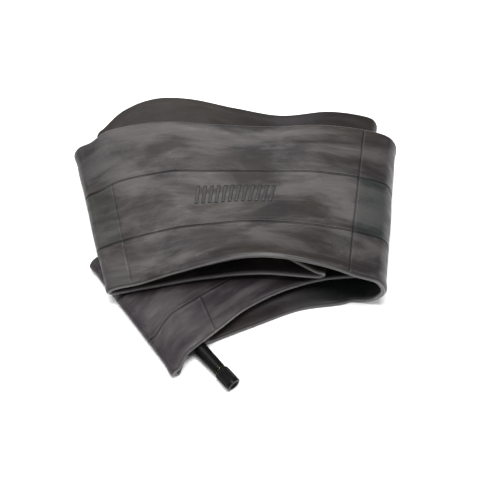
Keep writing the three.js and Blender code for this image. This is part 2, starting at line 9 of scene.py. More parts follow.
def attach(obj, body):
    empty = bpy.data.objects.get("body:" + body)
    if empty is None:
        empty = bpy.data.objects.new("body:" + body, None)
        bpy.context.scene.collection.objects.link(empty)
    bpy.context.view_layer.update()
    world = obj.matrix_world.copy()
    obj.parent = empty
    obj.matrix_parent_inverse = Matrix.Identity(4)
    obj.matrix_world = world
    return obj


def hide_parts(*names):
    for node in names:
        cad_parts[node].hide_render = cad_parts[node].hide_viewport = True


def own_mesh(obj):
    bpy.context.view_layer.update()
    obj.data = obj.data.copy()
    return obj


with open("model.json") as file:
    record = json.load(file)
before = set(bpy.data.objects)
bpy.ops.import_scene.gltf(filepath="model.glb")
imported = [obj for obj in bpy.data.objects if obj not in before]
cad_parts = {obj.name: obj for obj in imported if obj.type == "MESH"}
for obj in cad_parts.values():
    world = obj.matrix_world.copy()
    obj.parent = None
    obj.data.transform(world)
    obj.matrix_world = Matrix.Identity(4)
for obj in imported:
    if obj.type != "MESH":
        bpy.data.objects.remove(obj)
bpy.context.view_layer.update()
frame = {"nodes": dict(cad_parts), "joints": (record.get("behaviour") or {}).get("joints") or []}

# The looks of a folded bicycle inner tube. Shapes are worked out in millimetres and built in metres.
MM = 0.001


# ---------------------------------------------------------------- the camera, floor and lights
def aim(obj, place, target):
    """Puts obj at place, looking at target with its top up."""
    obj.location = place
    obj.rotation_euler = (Vector(target) - Vector(place)).to_track_quat("-Z", "Y").to_euler()


CAMERA_ELEVATION = math.radians(60)
CAMERA_DISTANCE = 0.7933
CAMERA_TARGET = Vector((0.0025, -0.0025, 0.020))
CAMERA_LENS = 85
SENSOR_WIDTH = 36
FLOOR_SIZE = 8
FLOOR_COLOUR = (0.9, 0.9, 0.9, 1)
FLOOR_ROUGHNESS = 0.9
FLOOR_SPECULAR = 0.1
WORLD_STRENGTH = 0.42
# Each soft light: its place, its size and its power in watts.
SOFTBOXES = {
    "back_softbox": ((-0.35, 0.8, 1.1), (0.8, 0.6), 8),
    "top_softbox": ((0.0, 0.0, 1.5), (0.8, 0.5), 28),
    "left_softbox": ((-1.2, 0.1, 0.8), (0.8, 0.8), 8),
    "right_softbox": ((1.2, 0.1, 0.9), (0.8, 0.8), 6),
}


def add_camera():
    lens = bpy.data.cameras.new("camera")
    lens.lens = CAMERA_LENS
    lens.sensor_width = SENSOR_WIDTH
    camera = bpy.data.objects.new("camera", lens)
    bpy.context.collection.objects.link(camera)
    back = Vector((0, -math.cos(CAMERA_ELEVATION), math.sin(CAMERA_ELEVATION)))
    aim(camera, CAMERA_TARGET + back * CAMERA_DISTANCE, CAMERA_TARGET)
    bpy.context.scene.camera = camera


def add_light(name, place, size, watts):
    light = bpy.data.lights.new(name, "AREA")
    light.shape = "RECTANGLE"
    light.size, light.size_y = size
    light.energy = watts
    lamp = bpy.data.objects.new(name, light)
    bpy.context.collection.objects.link(lamp)
    aim(lamp, place, (0, 0, 0))


def add_studio():
    bpy.ops.mesh.primitive_plane_add(size=FLOOR_SIZE)
    floor = bpy.context.object
    floor.name = "floor"
    paint, shader, _ = new_material("floor_paint")
    shader.inputs["Base Color"].default_value = FLOOR_COLOUR
    shader.inputs["Roughness"].default_value = FLOOR_ROUGHNESS
    shader.inputs["Specular IOR Level"].default_value = FLOOR_SPECULAR
    floor.data.materials.append(paint)
    for name, (place, size, watts) in SOFTBOXES.items():
        add_light(name, place, size, watts)
    world = bpy.data.worlds.new("studio")
    world.use_nodes = True
    world.node_tree.nodes["Background"].inputs["Color"].default_value = (1, 1, 1, 1)
    world.node_tree.nodes["Background"].inputs["Strength"].default_value = WORLD_STRENGTH
    bpy.context.scene.world = world
    bpy.context.scene.view_settings.view_transform = "Standard"


# ---------------------------------------------------------------- material helpers
def new_material(name):
    """A new material, its Principled shader and its node tree."""
    made = bpy.data.materials.new(name)
    made.use_nodes = True
    tree = made.node_tree
    return made, tree.nodes["Principled BSDF"], tree


def add_node(tree, kind, inputs, **settings):
    """A node with its inputs set to values or linked to other nodes' outputs."""
    made = tree.nodes.new(kind)
    for key, value in settings.items():
        setattr(made, key, value)
    for key, value in inputs.items():
        if isinstance(value, bpy.types.NodeSocket):
            tree.links.new(value, made.inputs[key])
        else:
            made.inputs[key].default_value = value
    return made


def coordinates(tree, scale, source="Object"):
    """Coordinates in metres times scale: the object's own, or the band's where source is a UV map."""
    if source == "Object":
        place = add_node(tree, "ShaderNodeTexCoord", {}).outputs["Object"]
    else:
        place = add_node(tree, "ShaderNodeUVMap", {}, uv_map=source).outputs["UV"]
    return add_node(tree, "ShaderNodeMapping", {"Vector": place, "Scale": scale}).outputs["Vector"]


def noise(tree, vector, detail=4.0, roughness=0.55, distortion=0.0):
    inputs = {"Vector": vector, "Scale": 1.0, "Detail": detail, "Roughness": roughness}
    inputs["Distortion"] = distortion
    return add_node(tree, "ShaderNodeTexNoise", inputs).outputs["Fac"]


def remap(tree, value, low, high, to_low=0.0, to_high=1.0):
    inputs = {"Value": value, "From Min": low, "From Max": high, "To Min": to_low, "To Max": to_high}
    return add_node(tree, "ShaderNodeMapRange", inputs, interpolation_type="SMOOTHSTEP").outputs["Result"]


def blend_colours(tree, share, first, second):
    inputs = {0: share, 6: first, 7: second}
    return add_node(tree, "ShaderNodeMix", inputs, data_type="RGBA").outputs[2]


def sums(tree, first, second, operation="ADD"):
    return add_node(tree, "ShaderNodeMath", {0: first, 1: second}, operation=operation).outputs[0]


def bump(tree, height, depth, under=None):
    inputs = {"Height": height, "Strength": 1.0, "Distance": depth}
    if under is not None:
        inputs["Normal"] = under
    return add_node(tree, "ShaderNodeBump", inputs).outputs["Normal"]


def read(tree, attribute):
    return add_node(tree, "ShaderNodeAttribute", {}, attribute_name=attribute).outputs["Fac"]


def grey(value, tint=(1, 1, 1)):
    return (value * tint[0], value * tint[1], value * tint[2], 1)


# ---------------------------------------------------------------- materials
BAND_MAP = "band"
# How often each pattern repeats in a metre, along the band and across it.
STREAK_SCALE = (14, 420, 1)
BRUSH_SCALE = (45, 1600, 1)
CLOUD_SCALE = (15, 46, 1)
TINT_SCALE = (17, 21, 1)
SMUDGE_SCALE = (60, 210, 1)
SCUFF_SCALE = (170, 420, 1)
SPECK_SCALE = (900, 1300, 1)
# The rubber's own colours, the ones that lie on it, a pale painted highlight along its edges, and painted
# shade in its creases.
WARM = grey(0.014, (1.26, 1.02, 0.9))
COOL = grey(0.0115, (1.16, 0.98, 1.06))
PURPLE = grey(0.015, (1.24, 0.97, 1.16))
TEAL = grey(0.012, (0.9, 1.1, 1.08))
BLOOM = grey(0.032, (1.18, 1.0, 0.98))
STREAK = grey(0.06, (1.1, 1.0, 0.98))
TALC = grey(0.085, (1.1, 1.0, 0.94))
SCUFF = grey(0.13, (1.08, 1.0, 0.92))
EDGE_HIGHLIGHT = grey(0.09, (1.06, 1.0, 1.0))
CREASE_SHADE = grey(0.003)
# Where each finish starts and is full in its pattern, and how much of it there is then.
BLOOM_FINISH = (0.42, 0.68, 0, 1)
STREAK_FINISH = (0.5, 0.8, 0, 0.35)
TALC_FINISH = (0.6, 0.78, 0, 0.55)
SCUFF_FINISH = (0.62, 0.7, 0, 0.5)
TINT_FINISH = (0.38, 0.62, 0, 1)
# Gloss: how rough the rubber is from its clean to its worn places, and how strongly it shines.
ROUGHNESS = (0.8, 1.25, 0.32, 0.6)
EDGE_POLISH = (0, 1, 1, 0.7)
MATT_SHINE = (0, 1, 0.3, 0.05)
CLOUD_SHINE = (0.38, 0.62, 0.5, 1.3)
EDGE_SHINE = (0, 1, 0, 0.55)
# Depths of the fine relief, in metres.
SPECK_DEPTH = 0.00003
BRUSH_DEPTH = 0.00003
STREAK_DEPTH = 0.00012


def butyl_material():
    """Moulded butyl: streaked along the band, clouded with bloom and smudged with talc. A pale painted
    highlight lies along its edges, and painted shade in its creases and on the lobe.
    """
    made, shader, tree = new_material("butyl_rubber")

    def pattern(scale, **settings):
        return noise(tree, coordinates(tree, scale, BAND_MAP), **settings)

    streaks = pattern(STREAK_SCALE, detail=5, roughness=0.6)
    brushing = pattern(BRUSH_SCALE, detail=3)
    clouds = pattern(CLOUD_SCALE, detail=6, roughness=0.6, distortion=0.5)
    tints = pattern(TINT_SCALE, detail=2, roughness=0.45)
    smudges = pattern(SMUDGE_SCALE, detail=7, roughness=0.68, distortion=0.4)
    scuffs = pattern(SCUFF_SCALE, detail=9, roughness=0.78, distortion=0.8)
    specks = pattern(SPECK_SCALE, detail=2)

    base = blend_colours(tree, remap(tree, tints, *TINT_FINISH), WARM, COOL)
    base = blend_colours(tree, remap(tree, read(tree, "purple"), 0, 1), base, PURPLE)
    base = blend_colours(tree, remap(tree, read(tree, "teal"), 0, 1), base, TEAL)
    # bloom on each place, cut on the lobe as painted shade
    bloomed_and_shaded = read(tree, "bloom_and_shade")
    for found, finish, colour in (
        (clouds, BLOOM_FINISH, BLOOM),
        (streaks, STREAK_FINISH, STREAK),
        (smudges, TALC_FINISH, TALC),
        (scuffs, SCUFF_FINISH, SCUFF),
    ):
        amount = sums(tree, remap(tree, found, *finish), bloomed_and_shaded, "MULTIPLY")
        base = blend_colours(tree, amount, base, colour)
    # the edge mask: a painted highlight in the colour, and smoother, glossier rubber there
    edge_highlight_and_polish = read(tree, "edge")
    base = blend_colours(tree, edge_highlight_and_polish, base, EDGE_HIGHLIGHT)
    # painted shade: the mould lines, seams and edge grooves darkened nearly to black
    base = blend_colours(tree, read(tree, "crease_shade"), base, CREASE_SHADE)
    tree.links.new(base, shader.inputs["Base Color"])

    worn = remap(tree, sums(tree, clouds, smudges), *ROUGHNESS)
    polished = remap(tree, edge_highlight_and_polish, *EDGE_POLISH)
    tree.links.new(sums(tree, worn, polished, "MULTIPLY"), shader.inputs["Roughness"])
    relief_below = bump(tree, brushing, BRUSH_DEPTH, bump(tree, specks, SPECK_DEPTH))
    tree.links.new(bump(tree, streaks, STREAK_DEPTH, relief_below), shader.inputs["Normal"])
    matt = remap(tree, read(tree, "matt"), *MATT_SHINE)
    shine = sums(tree, matt, remap(tree, clouds, *CLOUD_SHINE), "MULTIPLY")
    gloss = sums(tree, shine, remap(tree, edge_highlight_and_polish, *EDGE_SHINE))
    tree.links.new(gloss, shader.inputs["Specular IOR Level"])
    return made


GLOSS_SCALE = (180, 180, 180)
DUST_SCALE = (420, 420, 420)
DUST_FINISH = (0.6, 0.8, 0, 0.2)
DUST = grey(0.02)
GLOSS_SPREAD = (0.35, 0.7)  # where the gloss pattern is smoothest and roughest


def black_material(name, colour, smooth, rough, grain_scale, grain_depth, specular):
    """Moulded black rubber or plastic, with a little uneven gloss, a fine grain and some dust."""
    made, shader, tree = new_material(name)
    gloss = noise(tree, coordinates(tree, GLOSS_SCALE), detail=4)
    dust = noise(tree, coordinates(tree, DUST_SCALE), detail=6, roughness=0.7)
    grain = noise(tree, coordinates(tree, (grain_scale,) * 3), detail=2)
    dusty = remap(tree, dust, *DUST_FINISH)
    tree.links.new(blend_colours(tree, dusty, grey(colour), DUST), shader.inputs["Base Color"])
    tree.links.new(remap(tree, gloss, *GLOSS_SPREAD, smooth, rough), shader.inputs["Roughness"])
    tree.links.new(bump(tree, grain, grain_depth), shader.inputs["Normal"])
    shader.inputs["Specular IOR Level"].default_value = specular
    return made


TARNISH_SCALE = (260, 260, 260)
TOOL_MARK_SCALE = (9000, 9000, 9000)
TOOL_MARK_DEPTH = 0.00001
TARNISH_SPREAD = (0.4, 0.7)
DULLING_SPREAD = (0.35, 0.75)
DULLING = 0.2


def metal_material(name, bright, dull, rough):
    """Turned metal: fine tool marks round it, and a slight uneven tarnish."""
    made, shader, tree = new_material(name)
    tarnish = noise(tree, coordinates(tree, TARNISH_SCALE), detail=5)
    marks = noise(tree, coordinates(tree, TOOL_MARK_SCALE), detail=2)
    colour = blend_colours(tree, remap(tree, tarnish, *TARNISH_SPREAD), bright, dull)
    tree.links.new(colour, shader.inputs["Base Color"])
    roughness = remap(tree, tarnish, *DULLING_SPREAD, rough, rough + DULLING)
    tree.links.new(roughness, shader.inputs["Roughness"])
    tree.links.new(bump(tree, marks, TOOL_MARK_DEPTH), shader.inputs["Normal"])
    shader.inputs["Metallic"].default_value = 1.0
    return made


# ---------------------------------------------------------------- the lay of the tube
# The same places as the CAD's, in millimetres, with the same names.
FLAT_WIDTH = 110
WEB_HALF = 1.6
EDGE_HALF = 2.3
PITCH = 5.2
PRESSED_FLAT = 0.1
VALVE_SWELL = 1.3
VALVE_AXIS_HEIGHT = 5.4
CENTRE = (2.5, -2.5)
VALVE_FOOT = (-28.5, -75)
BEND_POINTS = 5
CURL_SHARE = 0.32
SWELL_REACH = 15
EDGE_BLEND = (4, 12)
RIGHT = 1
LEFT = -1


def level(layers, lift):
    return WEB_HALF - PRESSED_FLAT + layers * PITCH + lift


def station(rim, tread, curl=0.0, swell=0.0):
    """One line across the band. Each end is x, y, layers beneath and lift."""
    return {"rim": rim, "tread": tread, "curl": curl, "swell": swell}


def fold(side, rises, rim, tread):
    """A turn over to another layer. Each end is its outermost x and y, reach, low and high level."""
    return {"side": side, "rises": rises, "rim": rim, "tread": tread}


LAY = [
    # The lowest layer, to the right, with the valve on its rim-side edge.
    station((-36.3, -81, 0, 0.3), (-78, 2, 0, 0)),
    station((*VALVE_FOOT, 0, VALVE_AXIS_HEIGHT - level(0, 0)), (-62, 10, 0, 0), swell=VALVE_SWELL),
    station((-18.8, -70.3, 0, 0.8), (-44, 18, 0, 0)),
    station((12, -57.2, 0, 0), (-8, 34, 0, 0)),
    station((42, -45.5, 0, 0), (34, 52, 0, 0)),
    station((70, -41.2, 0, 0), (70, 64, 0, 0)),
    # The large outer turn on the right, and the top layer back to the left.
    fold(RIGHT, True, (97.6, -41.5, 20, (0, 0.3), (5, 10.5)), (112, 77, 16, (0, 0.3), (5, 11))),
    station((54, -33, 5, 15.5), (62, 81.5, 5, 15.5), curl=5),
    station((17, -28.5, 5, 20), (24, 80, 5, 16), curl=8),
    station((-12, -29.5, 5, 15.5), (-18, 82, 5, 16), curl=6),
    station((-42, -33, 5, 5), (-58, 84.5, 5, 16), curl=1.5),
    station((-68, -38, 3, 7.6), (-96, 80, 5, 10.5)),
    fold(LEFT, False, (-89, -41, 5, (2, 2.3), (3, 4.1)), (-119, 69.5, 12, (2, 2), (5, 7))),
    # The third layer, to the right.
    station((-62, -36, 2, 3.4), (-80, 68, 2, 4)),
    station((-26, -30, 2, 5.5), (-30, 72, 2, 5)),
    station((15, -27, 2, 8), (20, 72, 2, 5)),
    fold(RIGHT, True, (57, -31, 4.8, (2, 8.2), (3, 10.4)), (67, 68, 5, (2, 5), (3, 7))),
    # The fourth layer, back to the left.
    station((18, -12, 3, 8.6), (25, 84, 3, 7)),
    station((-12, -8, 3, 6), (-35, 87, 3, 6)),
    fold(LEFT, True, (-38, -6, 5, (3, 4), (4, 6)), (-104, 85, 5, (3, 5.5), (4, 8))),
    # The fifth layer, to the right, with the wave in its tread-side edge.
    station((-16, -9, 4, 7), (-86.5, 101.8, 4, 10.6)),
    station((4, -10, 4, 8.5), (-65, 111.7, 4, 12)),
    station((24, -10, 4, 9.8), (-37, 111.7, 4, 12.2)),
    station((42, -12, 4, 9.8), (-4, 103.5, 4, 12.2)),
    station((57, -15, 4, 9.2), (30, 96.8, 4, 12.2)),
    station((70, -18, 4, 8.4), (66, 100.3, 4, 12.2)),
    fold(RIGHT, False, (90, -25, 11, (1, 2), (4, 7)), (99.5, 98, 10, (1, 2.5), (4, 9))),
    # The second layer, to the left, swinging forward over the valve.
    station((58, -27, 1, 3), (62, 72, 1, 2.5)),
    station((32, -34.5, 1, 3.2), (22, 50, 1, 2.5)),
    station((6, -48.5, 1, 4), (-8, 33, 1, 2.5)),
    station((-12, -64, 1, 5.5), (-44, 17.5, 1, 2.5)),
    station((-27, -77.5, 1, 6.6), (-62, 9.5, 1, 2.4)),
    station((-35.5, -84.5, 1, 4.5), (-78, 1.5, 1, 2.3)),
    fold(LEFT, False, (-43.2, -95.3, 3.5, (0, 0), (1, 1.2)), (-105, -10.5, 5, (0, 0), (1, 1.8))),
]


def place(x, y, z):
    return (x + CENTRE[0], y + CENTRE[1], z)


def fold_points(item):
    """The points of one turn, on both edges."""
    along_x = item["tread"][0] - item["rim"][0]
    along_y = item["tread"][1] - item["rim"][1]
    length = math.hypot(along_x, along_y)
    out_x = along_y / length * item["side"]
    out_y = -along_x / length * item["side"]
    points = {"rim": [], "tread": []}
    for i in range(BEND_POINTS):
        turn = math.pi * i / (BEND_POINTS - 1) - math.pi / 2
        angle = turn if item["rises"] else -turn
        for edge in points:
            x, y, reach, low, high = item[edge]
            back = reach * (1 - math.cos(angle))
            bottom, top = level(*low), level(*high)
            z = (bottom + top) / 2 + (top - bottom) / 2 * math.sin(angle)
            points[edge].append(place(x - out_x * back, y - out_y * back, z))
    return points


def draw_edges():
    """The points of both edges of the band, and the curl and swell at each."""
    drawn = {"rim": [], "tread": [], "curl": [], "swell": []}
    for item in LAY:
        if "side" in item:
            points = fold_points(item)
        else:
            points = {edge: [place(*item[edge][:2], level(*item[edge][2:]))] for edge in ("rim", "tread")}
        for edge in ("rim", "tread"):
            drawn[edge] += points[edge]
        for quantity in ("curl", "swell"):
            drawn[quantity] += [item.get(quantity, 0.0)] * len(points["rim"])
    return {name: np.array(values, float) for name, values in drawn.items()}


EDGES = draw_edges()
DRAWN_POINTS = len(EDGES["curl"])


def smoothstep(value, low=0.0, high=1.0):
    share = np.clip((np.asarray(value, float) - low) / (high - low), 0, 1)
    return share * share * (3 - 2 * share)


def curve_through(points, at):
    """A closed centripetal Catmull-Rom curve. A whole number of at is a drawn point."""
    count = len(points)
    i = np.floor(at).astype(int)
    w = (at - i)[..., None]
    p0, p1, p2, p3 = (points[(i + k) % count] for k in (-1, 0, 1, 2))
    pairs = ((p0, p1), (p1, p2), (p2, p3))
    d0, d1, d2 = (np.sqrt(np.linalg.norm(b - a, axis=-1))[..., None] for a, b in pairs)
    leave = ((p1 - p0) / d0 - (p2 - p0) / (d0 + d1) + (p2 - p1) / d1) * d1
    arrive = ((p2 - p1) / d1 - (p3 - p1) / (d1 + d2) + (p3 - p2) / d2) * d1
    cubic = 2 * p1 - 2 * p2 + leave + arrive
    square = -3 * p1 + 3 * p2 - 2 * leave - arrive
    return p1 + leave * w + square * w**2 + cubic * w**3


def eased(values, at):
    i = np.floor(at).astype(int)
    first = values[i % DRAWN_POINTS]
    return first + (values[(i + 1) % DRAWN_POINTS] - first) * smoothstep(at - i)


def middle(at, share):
    """The middle surface of the flat tube, at a place round the ring and a share of its width."""
    rim = curve_through(EDGES["rim"], at)
    tread = curve_through(EDGES["tread"], at)
    surface = rim + (tread - rim) * share[..., None]
    surface[..., 2] += eased(EDGES["curl"], at) * (np.maximum(0, 1 - share / CURL_SHARE) ** 2 - (1 - share))
    return surface


def band_width(at):
    ends = np.zeros_like(at)
    return np.linalg.norm(middle(at, ends) - middle(at, ends + 1), axis=-1)


NEAR_AT = 0.05
NEAR_SHARE = 0.01


def band_normal(at, share):
    along = middle(at + NEAR_AT, share) - middle(at - NEAR_AT, share)
    across = middle(at, np.minimum(1, share + NEAR_SHARE)) - middle(at, np.maximum(0, share - NEAR_SHARE))
    normal = np.cross(along, across)
    return normal / np.linalg.norm(normal, axis=-1, keepdims=True)


def half_thickness(inset, swell):
    """Half the thickness of the flat tube at a distance in from its nearer edge."""
    lip = EDGE_HALF + swell * np.exp(-((inset / SWELL_REACH) ** 2))
    nose = np.minimum(1, inset / lip)
    return (lip + (WEB_HALF - EDGE_HALF) * smoothstep(inset, *EDGE_BLEND)) * np.sqrt(1 - (1 - nose) ** 2)


# ---------------------------------------------------------------- moulded detail of the band
# Mould lines run round the ring on both sides, at these shares of the width. Where the second
# layer swings forward it is drawn narrower, so the lines lie further across it.
MOULD_LINES = (0.28, 0.65)
NARROW_RUN = (46, 48.5, 51.5, 53.2)
NARROW_SHIFT = 0.055
LINE_DEPTH = 0.55
LINE_WIDTH = 0.5
LINE_SHOULDER = 0.16

OUTER = -1  # the side that is uppermost on the top layer
TOP_SEAM = 10.25  # the splice across the top layer, as a place in the lay
LEFT_LINE = 15.25  # a pressed line across the top layer, where it starts to turn down
FRONT_LINE = 50.3  # a short ridge across the second layer
SEAM_DEPTH = 0.5
SEAM_WIDTH = 0.55
SEAM_STEP = 0.18  # the splice's overlap, which stands up beside the seam and fades out
SEAM_STEP_RUN = (1.5, 6, 16)
# Each pressed line: where it is, how deep against the splice, and the shares of the width it spans.
PRESSED_LINES = ((TOP_SEAM, 1.0, 0, 1), (LEFT_LINE, 0.7, 0.02, MOULD_LINES[1]))
FRONT_LINE_HEIGHT = 0.45
FRONT_LINE_WIDTH = 0.7
FRONT_LINE_END = (0.3, 0.33)
BEAD_HEIGHT = 0.22  # the bead that the mould leaves round both edges
BEAD_WIDTH = 0.55
EDGE_GROOVE_AT = 1.5  # along the skin from the tip of each edge, like the painted edge highlight's place
EDGE_GROOVE_DEPTH = 0.3
EDGE_GROOVE_WIDTH = 0.45
EDGE_GROOVE_SHADE_WIDTH = 0.4
HOLLOW_AT = 8  # the shallow hollow beside each thick edge
HOLLOW_DEPTH = 0.25
HOLLOW_WIDTH = 3
# Where the pale painted highlight lies along each edge: from its tip along the skin, and its width.
EDGE_HIGHLIGHT_AT = 1.1
EDGE_HIGHLIGHT_WIDTH = 0.8
# How dark the painted shade is in each kind of crease.
LINE_SHADE = 0.85
LINE_SHADE_WIDTH = 1.1 * LINE_WIDTH
SEAM_SHADE = 0.8
EDGE_GROOVE_SHADE = 0.45
# The wrinkled patch: its place round the ring and across the band, and its reach.
CRINKLE_AT, CRINKLE_REACH = 13.85, 0.42
CRINKLE_ACROSS, CRINKLE_WIDTH = 15, 9
CRINKLE_DEPTH = 0.28
# Two crossing sets of wrinkles: how they repeat round the ring, and how they lean across the band.
FINE_CRINKLE, FINE_LEAN = 1.5, 0.6
COARSE_CRINKLE, COARSE_LEAN = 4.3, 2.1
PRESSED_START = 0.02  # shares of the width over which a pressed line comes in and goes out
PRESSED_END = 0.01
# Broad, middling and small waves of the springy rubber: height, size and pattern.
SWAY_WAVES = ((0.5, 42, 11), (0.32, 19, 12), (0.08, 8, 13))


def mould_line_shares(at):
    shift = NARROW_SHIFT * smoothstep(at, *NARROW_RUN[:2]) * (1 - smoothstep(at, *NARROW_RUN[2:]))
    return [line + shift for line in MOULD_LINES]


RING_SAMPLES = 24000
ring_at = np.linspace(0, DRAWN_POINTS, RING_SAMPLES + 1)
ring_centre = middle(ring_at, np.full_like(ring_at, 0.5))
ring_steps = np.linalg.norm(np.diff(ring_centre, axis=0), axis=1)
ring_run = np.concatenate([[0], np.cumsum(ring_steps)])
RING_LENGTH = ring_run[-1]


def run_at(at):
    """Distance round the ring, in millimetres."""
    return np.interp(at, ring_at, ring_run)


def waves(run, across, size, seed):
    """Smooth noise from -1 to 1 over the band, which joins up round the ring."""
    columns = max(3, round(RING_LENGTH / size))
    rows = int(4 * FLAT_WIDTH / size) + 4
    lattice = np.random.default_rng(seed).uniform(-1, 1, (columns, rows))
    a = run / RING_LENGTH * columns
    b = np.clip(across / size + 1, 0, rows - 2)
    i, j = np.floor(a).astype(int), np.floor(b).astype(int)
    fa, fb = smoothstep(a - i), smoothstep(b - j)
    near = lattice[i % columns, j] * (1 - fb) + lattice[i % columns, j + 1] * fb
    far = lattice[(i + 1) % columns, j] * (1 - fb) + lattice[(i + 1) % columns, j + 1] * fb
    return near * (1 - fa) + far * fa


def sway(run, across):
    """How far the springy rubber stands off its drawn surface, both sides together."""
    return sum(height * waves(run, across, size, seed) for height, size, seed in SWAY_WAVES)


def ridge(distance, width):
    return np.exp(-((distance / width) ** 2))


def crinkles(at, across):
    """Small wrinkles pressed into the top layer, beside its rim-side edge on the left."""
    patch = ridge(at - CRINKLE_AT, CRINKLE_REACH) * ridge(across - CRINKLE_ACROSS, CRINKLE_WIDTH)
    fine = np.sin(run_at(at) / FINE_CRINKLE + FINE_LEAN * across)
    coarse = np.sin(run_at(at) / COARSE_CRINKLE - across / COARSE_LEAN)
    return -CRINKLE_DEPTH * patch * np.abs(fine * coarse)


def relief(at, across, width, side, arc):
    """The height of the moulded detail over the plain skin, and how dark the painted shade in it is."""
    height = np.zeros_like(at)
    crease_shade = np.zeros_like(at)
    share = across / width
    outer = side == OUTER
    for line in mould_line_shares(at):
        off = across - line * width
        shoulder = ridge(np.abs(off) - 2 * LINE_WIDTH, LINE_WIDTH)
        height += LINE_SHOULDER * shoulder - LINE_DEPTH * ridge(off, LINE_WIDTH)
        crease_shade = np.maximum(crease_shade, LINE_SHADE * ridge(off, LINE_SHADE_WIDTH))
    rise, hold, gone = SEAM_STEP_RUN
    for seam, depth, start, stop in PRESSED_LINES:
        off = (run_at(at) - run_at(seam)) * np.ones_like(at)
        inside = outer * smoothstep(share, start, start + PRESSED_START)
        inside = inside * (1 - smoothstep(share, stop - PRESSED_END, stop + PRESSED_END))
        pressed = depth * inside * ridge(off, SEAM_WIDTH)
        step = smoothstep(off, 0, rise) * (1 - smoothstep(off, hold, gone))
        height += SEAM_STEP * depth * inside * step - SEAM_DEPTH * pressed
        crease_shade = np.maximum(crease_shade, SEAM_SHADE * pressed)
    # a short raised line from the second layer's edge to its first mould line
    inside = outer * (1 - smoothstep(share, *FRONT_LINE_END))
    height += FRONT_LINE_HEIGHT * inside * ridge(run_at(at) - run_at(FRONT_LINE), FRONT_LINE_WIDTH)
    height += BEAD_HEIGHT * ridge(arc, BEAD_WIDTH)
    height -= EDGE_GROOVE_DEPTH * ridge(arc - EDGE_GROOVE_AT, EDGE_GROOVE_WIDTH)
    crease_shade = np.maximum(crease_shade, EDGE_GROOVE_SHADE * ridge(arc - EDGE_GROOVE_AT, EDGE_GROOVE_SHADE_WIDTH))
    inset = np.minimum(across, width - across)
    height -= HOLLOW_DEPTH * ridge(inset - HOLLOW_AT, HOLLOW_WIDTH)
    height += outer * crinkles(at, across)
    return height, crease_shade


# ---------------------------------------------------------------- the tube's mesh
LIP_ANGLES = 7
LIP_INSETS = [3.1, 4.2, 5.6, 7.2, 9.0, 11.0]
RIM_COLUMNS = 9
CENTRE_COLUMNS = 21
TREAD_COLUMNS = 12
LINE_OFFSETS = [-1.7, -1.1, -0.7, -0.35, 0, 0.35, 0.7, 1.1, 1.7]
BAND_SECTIONS = 610
SECTION_LENGTH = 2.0
SECTION_TURN = 0.16
SEAM_SECTIONS = 26
SEAM_REACH = 2.2
DETAIL_AT_TIP = 0.35  # how much of the moulded detail is left where the edge comes to its tip


def section_places():
    """Places of the cross-sections round the ring: closer in the turns and at the seams."""
    load = ring_steps / SECTION_LENGTH
    for share in (0.0, 0.5, 1.0):
        steps = np.diff(middle(ring_at, np.full_like(ring_at, share)), axis=0)
        heading = steps / np.linalg.norm(steps, axis=1, keepdims=True)
        turn = np.linalg.norm(heading - np.roll(heading, 1, axis=0), axis=1)
        load = np.maximum(load, turn / SECTION_TURN)
    for seam in (TOP_SEAM, LEFT_LINE, FRONT_LINE):
        close = ridge(ring_run[:-1] - run_at(seam), SEAM_REACH)
        load = load + close / close.sum() * SEAM_SECTIONS
    total = np.concatenate([[0], np.cumsum(load)])
    return np.interp(np.arange(BAND_SECTIONS) / BAND_SECTIONS * total[-1], total, ring_at)


def evenly(start, stop, count):
    """Columns evenly spread between two others."""
    return [start + (stop - start) * k / (count + 1) for k in range(1, count + 1)]


def column_distances(at, width):
    """Distances from the rim-side edge of the columns across one side, and the arc from the nearer tip."""
    round_lip = np.linspace(0, math.pi / 2, LIP_ANGLES)
    lip, lip_arc = EDGE_HALF * (1 - np.cos(round_lip)), EDGE_HALF * round_lip
    edge = np.concatenate([lip, LIP_INSETS])
    edge_arc = np.concatenate([lip_arc, np.array(LIP_INSETS) + lip_arc[-1] - lip[-1]])
    first, second = (line * width for line in mould_line_shares(at))
    last = LINE_OFFSETS[-1]
    distances = [np.full_like(at, inset) for inset in edge]
    distances += evenly(np.full_like(at, edge[-1]), first - last, RIM_COLUMNS)
    distances += [first + offset for offset in LINE_OFFSETS]
    distances += evenly(first + last, second - last, CENTRE_COLUMNS)
    distances += [second + offset for offset in LINE_OFFSETS]
    distances += evenly(second + last, width - edge[-1], TREAD_COLUMNS)
    distances += [width - inset for inset in edge[::-1]]
    inner = len(distances) - 2 * len(edge)
    arcs = np.concatenate([edge_arc, np.full(inner, edge_arc[-1]), edge_arc[::-1]])
    return np.stack(distances, axis=1), arcs


def skin_points(at, across, width, side, arc):
    """Points of the tube's skin, and the painted shade in its creases."""
    share = across / width
    inset = np.minimum(across, width - across)
    swell = eased(EDGES["swell"], at) * (share < 0.5)
    height, crease_shade = relief(at, across, width, side, arc)
    half = half_thickness(inset, swell)
    detail = height * np.minimum(1, half / EDGE_HALF + DETAIL_AT_TIP)
    normal = band_normal(at, share)
    points = middle(at, share) + normal * (side * (half + detail) + sway(run_at(at), across))[..., None]
    points[..., 2] = np.maximum(points[..., 2], 0)
    return points, crease_shade


# Places round the ring where each tone of the rubber comes in and goes out again.
TOP_LAYER = (8, 10.2, 14.5, 16.8)
RIGHT_PANEL = (8.2, 9.0, TOP_SEAM - 0.05, TOP_SEAM)
LEFT_PANEL = (LEFT_LINE, LEFT_LINE + 0.05, 17.5, 18.5)
INSIDE_TURN = (3.6, 4.6, 8, 9)
